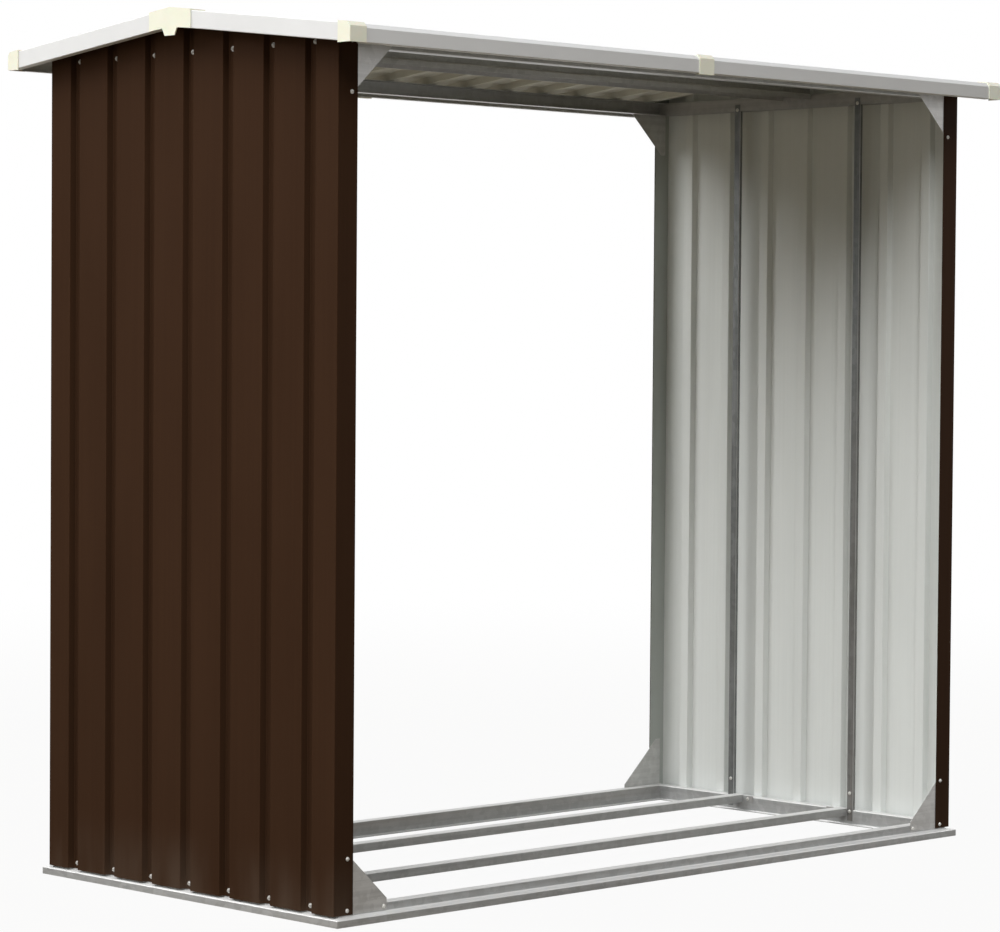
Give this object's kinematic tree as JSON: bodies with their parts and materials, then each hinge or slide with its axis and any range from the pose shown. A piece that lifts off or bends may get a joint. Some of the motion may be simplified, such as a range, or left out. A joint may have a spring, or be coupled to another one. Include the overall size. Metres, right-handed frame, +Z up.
{
  "type": "log store",
  "caption": "Open steel log store with ribbed brown side walls, a galvanised frame on a stepped base and a low ridged roof with light edge trims.",
  "frame": {"origin": "on the ground under the middle of the base", "axes": "+X along the store to the right seen from the front, +Y towards the rear opening, +Z up"},
  "size_m": [1.7206, 0.9246, 1.5404],
  "materials": {
    "zinc": "galvanised, faint spangle",
    "brown_coat": "semi-matt brown coat outside, pale grey back coat inside",
    "pale_coat": "off-white coat",
    "cream_plastic": "moulded, satin"
  },
  "bodies": {
    "root": {"front_base_rail": "zinc", "rear_base_rail": "zinc", "left_base_rail": "zinc", "right_base_rail": "zinc", "front_floor_rail": "zinc", "rear_floor_rail": "zinc", "left_front_wall_post": "zinc", "left_rear_wall_post": "zinc", "right_front_wall_post": "zinc", "right_rear_wall_post": "zinc", "left_top_rail": "zinc", "right_top_rail": "zinc", "front_eave_beam": "zinc", "rear_eave_beam": "zinc", "ridge_beam": "zinc", "front_gussets": "zinc", "rear_gussets": "zinc", "left_wall_front_panel": "brown_coat", "left_wall_rear_panel": "brown_coat", "right_wall_front_panel": "brown_coat", "right_wall_rear_panel": "brown_coat", "front_roof_sheet_1": "pale_coat", "front_roof_sheet_2": "pale_coat", "front_roof_sheet_3": "pale_coat", "front_roof_sheet_4": "pale_coat", "rear_roof_sheet_1": "pale_coat", "rear_roof_sheet_2": "pale_coat", "rear_roof_sheet_3": "pale_coat", "rear_roof_sheet_4": "pale_coat", "ridge_strip": "pale_coat", "front_left_eave_trim": "pale_coat", "front_right_eave_trim": "pale_coat", "rear_left_eave_trim": "pale_coat", "rear_right_eave_trim": "pale_coat", "left_front_gable_trim": "pale_coat", "left_rear_gable_trim": "pale_coat", "right_front_gable_trim": "pale_coat", "right_rear_gable_trim": "pale_coat", "roof_corner_caps": "cream_plastic", "eave_joint_caps": "cream_plastic", "ridge_end_caps": "cream_plastic"}
  },
  "joints": []
}
